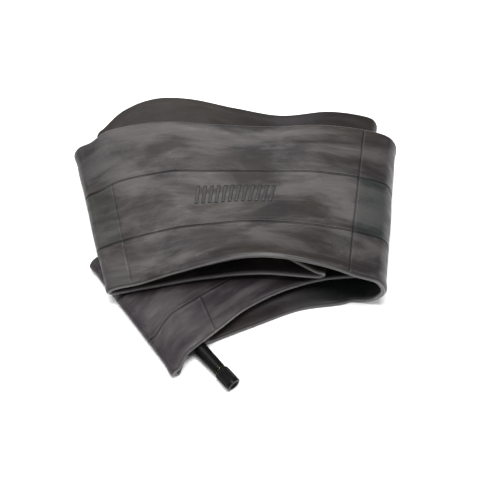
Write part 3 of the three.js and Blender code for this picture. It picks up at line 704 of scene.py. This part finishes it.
# the lobe, which is painted darker as shade and made matt
LOBE = (33, 35, 44, 46)
LOWEST_LAYER_END = (6, 8)
SECOND_LAYER_MATT = (46, 48)
SECOND_LAYER_PURPLE = (47, 48.5)
SECOND_LAYER_BLOOM = (47, 49)
LOWEST_PURPLE_END = (3, 5)
TONE_EDGE = 0.01  # half of the share of the width over which a tone stops at a mould line
# How strong each tone is there.
RIGHT_TEAL, LEFT_TEAL, TURN_TEAL = 0.85, 0.5, 0.7
SECOND_PURPLE, LOWEST_PURPLE = 0.8, 0.35
PLAIN_BLOOM, TOP_BLOOM, SECOND_BLOOM = 0.22, 0.78, 0.25
# the panels lose bloom as a tone; the lobe loses it as painted shade
PANEL_BLOOM_LOSS, LOBE_PAINTED_SHADE = 0.6, 0.7
DEEP_MATT, SECOND_MATT = 0.65, 0.25


def stretch(at, start, full, fade, gone):
    """1 between full and fade, and 0 before start and after gone."""
    return smoothstep(at, start, full) * (1 - smoothstep(at, fade, gone))


def band_attributes(at, across, width, side):
    """Where the rubber is teal, purple, clouded with bloom or matt. The lobe gets less bloom as painted
    shade, being darker where it turns away from the light.
    """
    first, second = MOULD_LINES
    ends = (first - TONE_EDGE, first + TONE_EDGE, second - TONE_EDGE, second + TONE_EDGE)
    between = stretch(across / width, *ends)
    outer = side == OUTER
    right, left = stretch(at, *RIGHT_PANEL), stretch(at, *LEFT_PANEL)
    teal = outer * between * (RIGHT_TEAL * right + LEFT_TEAL * left)
    teal = teal + TURN_TEAL * (side != OUTER) * stretch(at, *INSIDE_TURN)
    purple = SECOND_PURPLE * smoothstep(at, *SECOND_LAYER_PURPLE)
    purple = purple + LOWEST_PURPLE * (1 - smoothstep(at, *LOWEST_PURPLE_END))
    bloom_and_shade = PLAIN_BLOOM + TOP_BLOOM * outer * stretch(at, *TOP_LAYER)
    bloom_and_shade = bloom_and_shade + SECOND_BLOOM * outer * smoothstep(at, *SECOND_LAYER_BLOOM)
    bloom_and_shade = bloom_and_shade * (1 - PANEL_BLOOM_LOSS * outer * between * (right + left))
    # painted shade: the lobe is darkened by cutting its bloom, where it turns away from the light
    lobe = stretch(at, *LOBE)
    bloom_and_shade = bloom_and_shade * (1 - LOBE_PAINTED_SHADE * lobe)
    matt = DEEP_MATT * np.maximum(lobe, 1 - smoothstep(at, *LOWEST_LAYER_END))
    matt = matt + SECOND_MATT * smoothstep(at, *SECOND_LAYER_MATT)
    return {"teal": teal, "purple": purple, "bloom_and_shade": np.clip(bloom_and_shade, 0, 1), "matt": matt}


def add_object(mesh, material):
    mesh.shade_smooth()
    mesh.materials.append(material)
    made = bpy.data.objects.new(mesh.name, mesh)
    bpy.context.collection.objects.link(made)
    return made


def stands_for(piece, node, body):
    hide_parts(node)
    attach(piece, body)


def build_tube():
    places = section_places()
    width = band_width(places)
    distances, arcs = column_distances(places, width)
    count = distances.shape[1]
    at = np.repeat(places[:, None], count, axis=1)
    wide = np.repeat(width[:, None], count, axis=1)
    arc = np.repeat(arcs[None, :], len(places), axis=0)
    top, top_crease_shade = skin_points(at, distances, wide, 1, arc)
    under, under_crease_shade = skin_points(at, distances, wide, -1, arc)
    # the tips are shared, so the way back leaves them out
    back = slice(count - 2, 0, -1)
    points = np.concatenate([top, under[:, back]], axis=1)
    crease_shade = np.concatenate([top_crease_shade, under_crease_shade[:, back]], axis=1)
    over = band_attributes(at, distances, wide, 1)
    below = band_attributes(at, distances, wide, -1)
    around = points.shape[1]
    sections = len(places)

    i, j = np.meshgrid(np.arange(sections), np.arange(around), indexing="ij")
    next_i, next_j = (i + 1) % sections, (j + 1) % around
    quads = np.stack(
        [i * around + j, next_i * around + j, next_i * around + next_j, i * around + next_j], axis=-1
    ).reshape(-1, 4)
    mesh = bpy.data.meshes.new("rubber_tube")
    mesh.from_pydata((points.reshape(-1, 3) * MM).tolist(), [], quads.tolist())

    # where the pale painted highlight lies along each edge
    edge = np.tile(ridge(arcs - EDGE_HIGHLIGHT_AT, EDGE_HIGHLIGHT_WIDTH), (sections, 1))
    shared = {"crease_shade": crease_shade, "edge": np.concatenate([edge, edge[:, back]], axis=1)}
    for name in over:
        shared[name] = np.concatenate([over[name], below[name][:, back]], axis=1)
    for name, values in shared.items():
        mesh.attributes.new(name, "FLOAT", "POINT").data.foreach_set("value", values.ravel().astype("f"))

    # the band's own coordinates, which run on past the last section and along the skin
    run = np.append(run_at(places), RING_LENGTH)
    steps = np.linalg.norm(np.diff(points, axis=1, append=points[:, :1]), axis=2).mean(axis=0)
    skin = np.concatenate([[0], np.cumsum(steps)])
    u = np.stack([run[i], run[i + 1], run[i + 1], run[i]], axis=-1)
    v = np.stack([skin[j], skin[j], skin[j + 1], skin[j + 1]], axis=-1)
    layer = mesh.uv_layers.new(name=BAND_MAP)
    layer.data.foreach_set("uv", (np.stack([u, v], axis=-1) * MM).ravel().astype("f"))

    stands_for(add_object(mesh, butyl_material()), "inner_tube", "tube")


# ---------------------------------------------------------------- turned pieces of the valve
turn_joint = next(joint for joint in frame["joints"] if joint["name"] == "cap_turn")
OUTWARD = Vector(turn_joint["axis"]).normalized()
UPWARD = Vector((0, 0, 1))
valve_frame = Matrix((UPWARD.cross(OUTWARD), UPWARD, OUTWARD)).transposed().to_4x4()
valve_frame.translation = Vector(turn_joint["pos_m"])

THREAD_PITCH = 0.794
THREAD_DEPTH = 0.34
LONGEST_CUT = 0.45  # of the side next to a softened corner


def valve_object(name, points, faces, material):
    """An object from points in millimetres, in the valve's own frame."""
    mesh = bpy.data.meshes.new(name)
    mesh.from_pydata([Vector(point) * MM for point in points], [], faces)
    mesh.transform(valve_frame)
    return add_object(mesh, material)


def on_ring(reach, height, k, sides):
    angle = 2 * math.pi * k / sides
    return (reach * math.cos(angle), reach * math.sin(angle), height)


def softened(outline, cut, steps):
    """An outline of radii and heights with each corner rounded. Ends on the axis stay sharp."""
    made = []
    count = len(outline)
    for i, corner in enumerate(outline):
        before, after = (np.array(outline[(i + k) % count]) for k in (-1, 1))
        corner = np.array(corner, float)
        if corner[0] == 0:
            made.append(corner)
            continue
        reach = [min(cut, np.linalg.norm(side - corner) * LONGEST_CUT) for side in (before, after)]
        start, stop = (
            corner + (side - corner) / max(np.linalg.norm(side - corner), 1e-9) * far
            for side, far in zip((before, after), reach)
        )
        for k in range(steps + 1):
            s = k / steps
            made.append((1 - s) ** 2 * start + 2 * s * (1 - s) * corner + s * s * stop)
    return made


def spaced(outline, step):
    """The outline with long stretches divided, so that it can carry a thread or ribs."""
    made = []
    for start, stop in zip(outline, outline[1:] + outline[:1]):
        count = max(1, round(np.linalg.norm(np.array(stop) - np.array(start)) / step))
        made += [np.array(start) + (np.array(stop) - np.array(start)) * k / count for k in range(count)]
    return made


def turned(name, outline, material, sides, shape):
    """A closed body turned about the valve's axis. shape gives the radius from angle, radius and height."""
    points, rings = [], []
    for radius, height in outline:
        if radius == 0:
            rings.append([len(points)] * sides)
            points.append((0, 0, height))
            continue
        rings.append(list(range(len(points), len(points) + sides)))
        for k in range(sides):
            angle = 2 * math.pi * k / sides
            reach = shape(angle, radius, height)
            points.append((reach * math.cos(angle), reach * math.sin(angle), height))
    faces = []
    for lower, upper in zip(rings, rings[1:] + rings[:1]):
        if lower[0] == lower[-1] and upper[0] == upper[-1]:
            continue
        for k in range(sides):
            n = (k + 1) % sides
            corners = [lower[k], lower[n], upper[n], upper[k]]
            faces.append([c for m, c in enumerate(corners) if c != corners[m - 1]])
    return valve_object(name, points, faces, material)


def thread(low, high):
    """A right-handed thread cut into a radius between two heights, running out at both ends."""

    def shape(angle, radius, height):
        if not low < height < high:
            return radius
        turn = height / THREAD_PITCH - angle / (2 * math.pi)
        tooth = 0.5 - 0.5 * math.cos(2 * math.pi * turn)
        fade = min(1, (height - low) / THREAD_PITCH, (high - height) / THREAD_PITCH)
        return radius - THREAD_DEPTH * fade * tooth

    return shape


# Heights and sizes inside the valve, out from the tube's edge, as in the CAD.
COVER_LENGTH = 22.8
COVER_ROOT = 4.95
COVER_END = 4.5
COVER_SIDES = 128
COVER_STEPS = 24
FOOT_HALF = (12.0, 5.1, 4.85)
FOOT_CENTRE = -2.25
FOOT_TOP = FOOT_CENTRE + FOOT_HALF[2]
FOOT_STEPS_UNDER = 10
FOOT_STEPS_OVER = 16
FOOT_JOIN = 6  # how sharply the foot and the sleeve meet
ROOT_FLARE = 0.35
ROOT_FLARE_REACH = 1.8
ROUND_START = COVER_LENGTH - 0.5
ROUND_END = ((0.1, 0.3), (0.3, 0.45), (0.6, 0.5))  # inward and up, at the rubber's rounded end


def cover_heights():
    """Heights of the cover's rings, from just over the foot's lowest point."""
    quarter = math.pi / 2
    under = [-math.cos(quarter * k / FOOT_STEPS_UNDER) for k in range(1, FOOT_STEPS_UNDER)]
    over = [math.sin(quarter * k / FOOT_STEPS_OVER) for k in range(FOOT_STEPS_OVER)]
    foot = [FOOT_CENTRE + FOOT_HALF[2] * part for part in under + over]
    sleeve = [FOOT_TOP + (ROUND_START - FOOT_TOP) * k / COVER_STEPS for k in range(COVER_STEPS + 1)]
    return foot + sleeve


def sleeve_radius(height):
    """The tapered sleeve, with a small flare at its root. There is none inside the foot."""
    if height < 0:
        return 0.0
    share = min(1, height / COVER_LENGTH)
    return COVER_ROOT + (COVER_END - COVER_ROOT) * share + ROOT_FLARE * math.exp(-height / ROOT_FLARE_REACH)


def cover_reach(height, angle):
    """The outline at a height: the foot's ellipse and the sleeve, joined smoothly."""
    grown = math.sqrt(max(0, 1 - ((height - FOOT_CENTRE) / FOOT_HALF[2]) ** 2))
    foot = grown / math.hypot(math.cos(angle) / FOOT_HALF[0], math.sin(angle) / FOOT_HALF[1])
    return (foot**FOOT_JOIN + sleeve_radius(height) ** FOOT_JOIN) ** (1 / FOOT_JOIN)


def build_cover(material):
    """The rubber cover: a tapered sleeve that spreads into the foot bonded to the tube's edge."""
    sides = COVER_SIDES
    points, rings = [(0, 0, FOOT_CENTRE - FOOT_HALF[2])], []
    for height in cover_heights():
        rings.append(range(len(points), len(points) + sides))
        reaches = [cover_reach(height, 2 * math.pi * k / sides) for k in range(sides)]
        points += [on_ring(reach, height, k, sides) for k, reach in enumerate(reaches)]
    for inward, up in ROUND_END:
        rings.append(range(len(points), len(points) + sides))
        points += [on_ring(COVER_END - inward, ROUND_START + up, k, sides) for k in range(sides)]
    top = len(points)
    points.append((0, 0, COVER_LENGTH))
    faces = []
    for lower, upper in zip(rings, rings[1:]):
        faces += [(lower[k], lower[k - sides + 1], upper[k - sides + 1], upper[k]) for k in range(sides)]
    faces += [(0, rings[0][k - sides + 1], rings[0][k]) for k in range(sides)]
    faces += [(rings[-1][k], rings[-1][k - sides + 1], top) for k in range(sides)]
    cover = valve_object("stem_cover_skin", points, faces, material)
    stands_for(cover, "valve_stem_cover", "tube")


STEM_LENGTH = 32.3
STEM_RADIUS = 3.3
STEM_THREAD_RADIUS = 3.85
STEM_THREAD_FROM = COVER_LENGTH + 0.8
STEM_MOUTH_RADIUS = 3.35
STEM_FLANGE_RADIUS = 4.3
STEM_FLANGE = (1.4, 2.5)
CORE_THREAD_RADIUS, CORE_THREAD_FROM = 2.95, 24.7
CORE_BORE_RADIUS, CORE_BORE_FROM = 2.7, 10.7
INLET_RADIUS, INLET_TOP = 1.6, 9.7
STEM_CORNER = (0.12, 2)
STEM_SHANK_END = 0.5  # below the thread and the mouth, where the stem tapers
SHANK_MARGIN = 0.3
STEM_SIDES = 96
STEM_STEP = 0.11


def build_stem(material):
    """The brass stem: a flange and a plain shank in the rubber, then the thread for the cap."""
    flange_low, flange_high = STEM_FLANGE
    outside = [
        (INLET_RADIUS, flange_low), (STEM_FLANGE_RADIUS, flange_low), (STEM_FLANGE_RADIUS, flange_high),
        (STEM_RADIUS, flange_high), (STEM_RADIUS, STEM_THREAD_FROM - STEM_SHANK_END),
        (STEM_THREAD_RADIUS, STEM_THREAD_FROM), (STEM_THREAD_RADIUS, STEM_LENGTH - STEM_SHANK_END),
        (STEM_MOUTH_RADIUS, STEM_LENGTH),
        (CORE_THREAD_RADIUS, STEM_LENGTH), (CORE_THREAD_RADIUS, CORE_THREAD_FROM),
        (CORE_BORE_RADIUS, CORE_THREAD_FROM), (CORE_BORE_RADIUS, CORE_BORE_FROM), (INLET_RADIUS, INLET_TOP),
    ]
    outline = spaced([tuple(p) for p in softened(outside, *STEM_CORNER)], STEM_STEP)
    cut = thread(STEM_THREAD_FROM, STEM_LENGTH - SHANK_MARGIN)

    def shape(angle, radius, height):
        return cut(angle, radius, height) if radius > STEM_RADIUS + SHANK_MARGIN else radius

    stands_for(turned("stem_thread", outline, material, STEM_SIDES, shape), "valve_stem", "tube")


CAP_LOW, CAP_HIGH = 23.4, 37.4
CAP_RADIUS = 5.3
CAP_MOUTH_WALL = 0.35
CAP_TAPER = 1.6
CAP_BORE_RADIUS = 4.15
CAP_BORE_TOP = 34.0
BORE_MARGIN = 0.1
CAP_DISH = (3.7, 2.9)  # radii of its rim and its floor
CAP_DISH_DEPTH = 1.0
CAP_NUB_RADIUS = 1.2
CAP_NUB_LEVEL = 0.55
CAP_CORNER = (0.45, 5)
CAP_OUTSIDE = (0.5, 0.4)  # how far inside the outer radius the ribs start, and over how much
CAP_SIDES = 240
CAP_STEP = 0.3
CAP_RIBS = 24
RIB_DEPTH = 0.42
RIB_FLANK = 2.2
RIB_START, RIB_RISE = 0.9, 0.8  # over the cap's mouth
RIB_STOP, RIB_RUN_OUT = 2.2, 0.6  # under the cap's end


def within(value):
    return min(1, max(0, value))


def build_cap(material):
    """The dust cap: ribs that run up to a smooth collar, a dished end and a plain bore."""
    dish_rim, dish_floor = CAP_DISH
    outside = [
        (CAP_BORE_RADIUS, CAP_LOW), (CAP_BORE_RADIUS + CAP_MOUTH_WALL, CAP_LOW),
        (CAP_RADIUS, CAP_LOW + CAP_TAPER),
        (CAP_RADIUS, CAP_HIGH), (dish_rim, CAP_HIGH), (dish_floor, CAP_HIGH - CAP_DISH_DEPTH),
        (CAP_NUB_RADIUS, CAP_HIGH - CAP_DISH_DEPTH), (0, CAP_HIGH - CAP_NUB_LEVEL),
        (0, CAP_BORE_TOP), (CAP_BORE_RADIUS, CAP_BORE_TOP),
    ]
    outline = spaced([tuple(p) for p in softened(outside, *CAP_CORNER)], CAP_STEP)
    margin, blend = CAP_OUTSIDE

    def shape(angle, radius, height):
        if radius < CAP_BORE_RADIUS + BORE_MARGIN:
            return radius
        rib = 0.5 + 0.5 * math.cos(CAP_RIBS * angle)
        valley = RIB_DEPTH * (1 - min(1, rib * RIB_FLANK))
        rise = within((height - CAP_LOW - RIB_START) / RIB_RISE)
        run_out = within((CAP_HIGH - RIB_STOP - height) / RIB_RUN_OUT)
        outer = within((radius - CAP_RADIUS + margin) / blend)
        return radius - valley * rise * run_out * outer

    stands_for(turned("dust_cap", outline, material, CAP_SIDES, shape), "valve_cap", "cap")


SPRING_LOW, SPRING_HIGH = 17.2, 24.3
SPRING_RADIUS = 0.875
SPRING_WIRE = 0.35
SPRING_TURNS = 7
SPRING_TURN_STEPS = 32
WIRE_SIDES = 10
CLOSED_END = 0.06  # how far past each end the coil's easing reaches, so that the end turns lie close


def build_spring(material):
    """The core's coil spring, with closed ends."""
    steps, sides = SPRING_TURNS * SPRING_TURN_STEPS, WIRE_SIDES
    points, faces = [], []
    low, high = SPRING_LOW + SPRING_WIRE / 2, SPRING_HIGH - SPRING_WIRE / 2
    for i in range(steps + 1):
        share = i / steps
        angle = 2 * math.pi * SPRING_TURNS * share
        height = low + (high - low) * smoothstep(share, -CLOSED_END, 1 + CLOSED_END)
        for k in range(sides):
            turn = 2 * math.pi * k / sides
            reach = SPRING_RADIUS + SPRING_WIRE / 2 * math.cos(turn)
            up = height + SPRING_WIRE / 2 * math.sin(turn)
            points.append((reach * math.cos(angle), reach * math.sin(angle), up))
    for i in range(steps):
        for k in range(sides):
            n = (k + 1) % sides
            faces.append((i * sides + k, (i + 1) * sides + k, (i + 1) * sides + n, i * sides + n))
    faces.append(tuple(range(sides)))
    faces.append(tuple(steps * sides + k for k in reversed(range(sides))))
    coil = valve_object("core_coil", points, faces, material)
    stands_for(coil, "core_spring", "tube")
    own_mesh(coil)


def finish_nodes(finishes):
    """Materials for the CAD pieces that stay as they are."""
    for node, material in finishes.items():
        shown = frame["nodes"][node]
        shown.data.materials.clear()
        shown.data.materials.append(material)


# ---------------------------------------------------------------- the raised mark
MARK_FROM, MARK_TO = 13.45, 11.85
MARK_BARS = 12
MARK_LOW, MARK_HIGH = 0.425, 0.545
MARK_SLANT = 0.045
MARK_BAR_SHARE = 0.5
MARK_HEIGHT = 0.4
MARK_SINK = 0.3
MARK_GRID = (7, 14)
MARK_FINISH = (0.014, 0.42, 0.6, 2600, 0.00002, 0.3)
MARK_SHOULDER = 0.55  # how high the bars' edges stand, as a share of their tops


def build_mark():
    """A row of slanted raised bars moulded into the top layer, with no lettering."""
    along, up = MARK_GRID
    points, faces = [], []
    pitch = (MARK_TO - MARK_FROM) / MARK_BARS
    for bar in range(MARK_BARS):
        s, w = np.meshgrid(np.linspace(0, 1, along), np.linspace(0, 1, up), indexing="ij")
        at = MARK_FROM + pitch * (bar + MARK_BAR_SHARE * s) + (w - 0.5) * MARK_SLANT * (MARK_TO - MARK_FROM)
        share = MARK_LOW + (MARK_HIGH - MARK_LOW) * w
        width = band_width(at)
        skin, _ = skin_points(at, share * width, width, OUTER, np.full_like(at, FLAT_WIDTH))
        normal = band_normal(at, share) * OUTER
        edge = np.minimum(np.minimum(s, 1 - s) * (along - 1), np.minimum(w, 1 - w) * (up - 1))
        top = MARK_HEIGHT * np.minimum(1, MARK_SHOULDER + (1 - MARK_SHOULDER) * edge)
        high = skin + normal * top[..., None]
        deep = skin - normal * MARK_SINK
        first = len(points)
        points += list(high.reshape(-1, 3)) + list(deep.reshape(-1, 3))
        under = along * up
        for i in range(along - 1):
            for j in range(up - 1):
                a = first + i * up + j
                quad = (a, a + 1, a + up + 1, a + up)
                faces.append(quad)
                faces.append(tuple(corner + under for corner in reversed(quad)))
        rim = [i * up for i in range(along)] + [(along - 1) * up + j for j in range(1, up)]
        rim += [i * up + up - 1 for i in reversed(range(along - 1))] + list(reversed(range(1, up - 1)))
        for a, b in zip(rim, rim[1:] + rim[:1]):
            faces.append((first + a, first + b, first + b + under, first + a + under))
    mesh = bpy.data.meshes.new("moulded_mark")
    mesh.from_pydata((np.array(points) * MM).tolist(), [], faces)
    mark = add_object(mesh, black_material("mark_rubber", *MARK_FINISH))
    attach(mark, "tube")


# ---------------------------------------------------------------- the whole scene
# Each black finish: its grey, its roughness where smoothest and roughest, how often its grain
# repeats in a metre, the grain's depth in metres, and how strongly it shines.
SEAL_FINISH = (0.03, 0.6, 0.85, 3000, 0.00003, 0.3)
STEM_FINISH = (0.003, 0.3, 0.42, 2400, 0.00002, 0.07)
CAP_FINISH = (0.003, 0.22, 0.34, 3200, 0.00001, 0.08)

add_camera()
add_studio()
build_tube()
build_mark()
brass = metal_material("turned_brass", (0.72, 0.52, 0.24, 1), (0.5, 0.34, 0.14, 1), 0.24)
steel = metal_material("drawn_steel", (0.62, 0.63, 0.64, 1), (0.42, 0.42, 0.42, 1), 0.22)
seal = black_material("seal_rubber", *SEAL_FINISH)
build_cover(black_material("stem_rubber", *STEM_FINISH))
build_stem(brass)
build_cap(black_material("cap_plastic", *CAP_FINISH))
build_spring(steel)
finish_nodes(
    {
        "core_plug": brass,
        "core_barrel": brass,
        "core_gasket": seal,
        "valve_pin": steel,
        "seat_cup": brass,
        "seat_washer": seal,
        "cap_seal": seal,
    }
)
